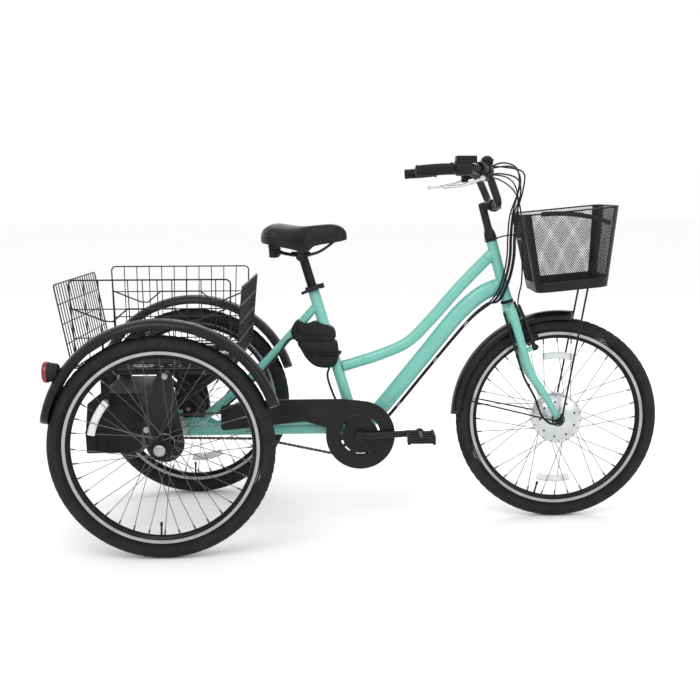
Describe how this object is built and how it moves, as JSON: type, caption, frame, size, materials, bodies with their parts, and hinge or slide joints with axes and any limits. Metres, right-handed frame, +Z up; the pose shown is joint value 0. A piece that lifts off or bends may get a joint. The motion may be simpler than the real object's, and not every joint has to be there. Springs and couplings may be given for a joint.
{
  "type": "adult electric tricycle",
  "caption": "Step-through adult tricycle with a front hub motor, a front basket and a folding wire cargo basket between the rear wheels.",
  "frame": {"origin": "centre of the bounding box in plan, on the ground under the tricycle", "axes": "+X is forward, +Y is the rider's left, +Z is up"},
  "size_m": [1.725, 0.738, 1.065],
  "materials": {
    "mint_paint": "satin mint green lacquer",
    "black_paint": "black powder coat",
    "black_plastic": "fine grained moulding",
    "basket_plastic": "black mesh and bands",
    "vinyl": "smooth black saddle vinyl",
    "grip_rubber": "matt",
    "cable_jacket": "satin",
    "tyre_rubber": "matt",
    "alloy": "satin silver",
    "rim_black": "black anodised with a machined brake track",
    "steel": "plated",
    "chain_steel": "oiled",
    "red_lens": "moulded lens"
  },
  "bodies": {
    "frame": {"main_frame": "mint_paint", "headset_lower_cup": "black_paint", "seat_clamp_collar": "black_paint", "frame_cables": "cable_jacket", "controller_case": "black_plastic", "rear_subframe": "black_paint", "axle_bearing_left": "steel", "axle_bearing_right": "steel", "band_brake": "black_paint", "battery_box": "black_plastic", "rear_fender_left": "black_plastic", "rear_fender_right": "black_plastic", "tail_lamp_body": "black_plastic", "tail_lamp_lens": "red_lens", "drive_chain": "chain_steel", "chain_case": "black_plastic", "basket_floor": "black_paint"},
    "steering": {"fork": "mint_paint", "front_axle": "black_paint", "front_fender": "black_plastic", "stem": "black_paint", "handlebar": "black_paint", "grip_left": "grip_rubber", "throttle_housing": "black_plastic", "brake_clamp_left": "black_paint", "brake_clamp_right": "black_paint", "shifter_pod": "black_plastic", "control_cables": "cable_jacket", "motor_cable": "cable_jacket", "front_basket": "basket_plastic", "front_basket_bracket": "black_paint", "front_basket_stays": "black_paint"},
    "front_wheel": {"front_tyre": "tyre_rubber", "front_rim": "rim_black", "hub_motor": "alloy"},
    "rear_wheel_left": {"rear_tyre_left": "tyre_rubber", "rear_rim_left": "rim_black", "rear_hub_left": "steel"},
    "rear_wheel_right": {"rear_tyre_right": "tyre_rubber", "rear_rim_right": "rim_black", "rear_hub_right": "steel", "rear_axle_shaft": "steel"},
    "sprocket": {"rear_sprocket": "steel"},
    "cranks": {"crankset": "black_paint", "crank_arm_left": "black_paint"},
    "left_pedal": {"pedal_left": "black_plastic"},
    "right_pedal": {"pedal_right": "black_plastic"},
    "left_brake_lever": {"brake_lever_left": "alloy"},
    "right_brake_lever": {"brake_lever_right": "alloy"},
    "left_brake_arm": {"brake_arm_left": "black_paint"},
    "right_brake_arm": {"brake_arm_right": "black_paint"},
    "throttle": {"twist_grip": "grip_rubber"},
    "seat": {"seat_post": "black_paint", "saddle_frame": "black_paint", "saddle": "vinyl"},
    "seat_lever": {"seat_clamp_lever": "black_paint"},
    "left_panel": {"basket_panel_left": "black_paint"},
    "right_panel": {"basket_panel_right": "black_paint"},
    "front_panel": {"basket_panel_front": "black_paint"},
    "rear_panel": {"basket_panel_rear": "black_paint"}
  },
  "joints": [
    {"name": "steering_turn", "type": "hinge", "parent": "frame", "child": "steering", "pos_m": [0.41102, 0, 0.653], "axis": [-0.2588, 0, 0.9659], "range_deg": [-50, 50]},
    {"name": "front_wheel_spin", "type": "hinge", "parent": "steering", "child": "front_wheel", "pos_m": [0.56252, 0, 0.3], "axis": [0, 1, 0], "continuous": true},
    {"name": "rear_wheel_left_spin", "type": "hinge", "parent": "frame", "child": "rear_wheel_left", "pos_m": [-0.54748, 0.325, 0.3], "axis": [0, 1, 0], "continuous": true},
    {"name": "rear_wheel_right_spin", "type": "hinge", "parent": "frame", "child": "rear_wheel_right", "pos_m": [-0.54748, -0.325, 0.3], "axis": [0, 1, 0], "continuous": true},
    {"name": "crank_spin", "type": "hinge", "parent": "frame", "child": "cranks", "pos_m": [-0.02098, 0, 0.2715], "axis": [0, 1, 0], "continuous": true},
    {"name": "sprocket_spin", "type": "hinge", "parent": "frame", "child": "sprocket", "pos_m": [-0.54748, -0.06, 0.3], "axis": [0, 1, 0], "continuous": true},
    {"name": "pedal_left_spin", "type": "hinge", "parent": "cranks", "child": "left_pedal", "pos_m": [-0.19075, 0.159, 0.2626], "axis": [0, 1, 0], "continuous": true},
    {"name": "pedal_right_spin", "type": "hinge", "parent": "cranks", "child": "right_pedal", "pos_m": [0.14878, -0.159, 0.2804], "axis": [0, 1, 0], "continuous": true},
    {"name": "brake_lever_left_pull", "type": "hinge", "parent": "steering", "child": "left_brake_lever", "pos_m": [0.30852, 0.241, 1.003], "axis": [0, 1, 0], "range_deg": [0, 12], "stiffness_Nm_per_rad": 2, "springref_deg": -8.59},
    {"name": "brake_lever_right_pull", "type": "hinge", "parent": "steering", "child": "right_brake_lever", "pos_m": [0.30852, -0.241, 1.003], "axis": [0, 1, 0], "range_deg": [0, 12], "stiffness_Nm_per_rad": 2, "springref_deg": -8.59},
    {"name": "brake_arm_left_close", "type": "hinge", "parent": "steering", "child": "left_brake_arm", "pos_m": [0.48768, 0.05, 0.51802], "axis": [0.946, 0, 0.324], "range_deg": [0, 4]},
    {"name": "brake_arm_right_close", "type": "hinge", "parent": "steering", "child": "right_brake_arm", "pos_m": [0.48768, -0.05, 0.51802], "axis": [-0.946, 0, -0.324], "range_deg": [0, 4]},
    {"name": "throttle_twist", "type": "hinge", "parent": "steering", "child": "throttle", "pos_m": [0.13152, -0.29, 1.022], "axis": [0.9942, 0.0806, 0.0716], "range_deg": [0, 60], "stiffness_Nm_per_rad": 0.3, "springref_deg": -17.19},
    {"name": "seat_height", "type": "slide", "parent": "frame", "child": "seat", "axis": [-0.2835, 0, 0.959], "range_m": [-0.04, 0.1]},
    {"name": "seat_lever_open", "type": "hinge", "parent": "frame", "child": "seat_lever", "pos_m": [-0.1289, -0.018, 0.69961], "axis": [-0.2835, 0, 0.959], "range_deg": [0, 120]},
    {"name": "basket_left_fold", "type": "hinge", "parent": "frame", "child": "left_panel", "pos_m": [-0.57598, 0.243, 0.506], "axis": [1, 0, 0], "range_deg": [0, 95.3]},
    {"name": "basket_right_fold", "type": "hinge", "parent": "frame", "child": "right_panel", "pos_m": [-0.57598, -0.243, 0.506], "axis": [-1, 0, 0], "range_deg": [0, 95.3]},
    {"name": "basket_front_fold", "type": "hinge", "parent": "frame", "child": "front_panel", "pos_m": [-0.35548, 0, 0.512], "axis": [0, -1, 0], "range_deg": [0, 95.5]},
    {"name": "basket_rear_fold", "type": "hinge", "parent": "frame", "child": "rear_panel", "pos_m": [-0.79648, 0, 0.512], "axis": [0, 1, 0], "range_deg": [0, 100.3]}
  ],
  "couplings": [
    {"joint": "sprocket_spin", "follows": "crank_spin", "ratio": 2.1765},
    {"joint": "brake_arm_left_close", "follows": "brake_lever_left_pull", "ratio": 0.3333},
    {"joint": "brake_arm_right_close", "follows": "brake_lever_left_pull", "ratio": 0.3333}
  ]
}
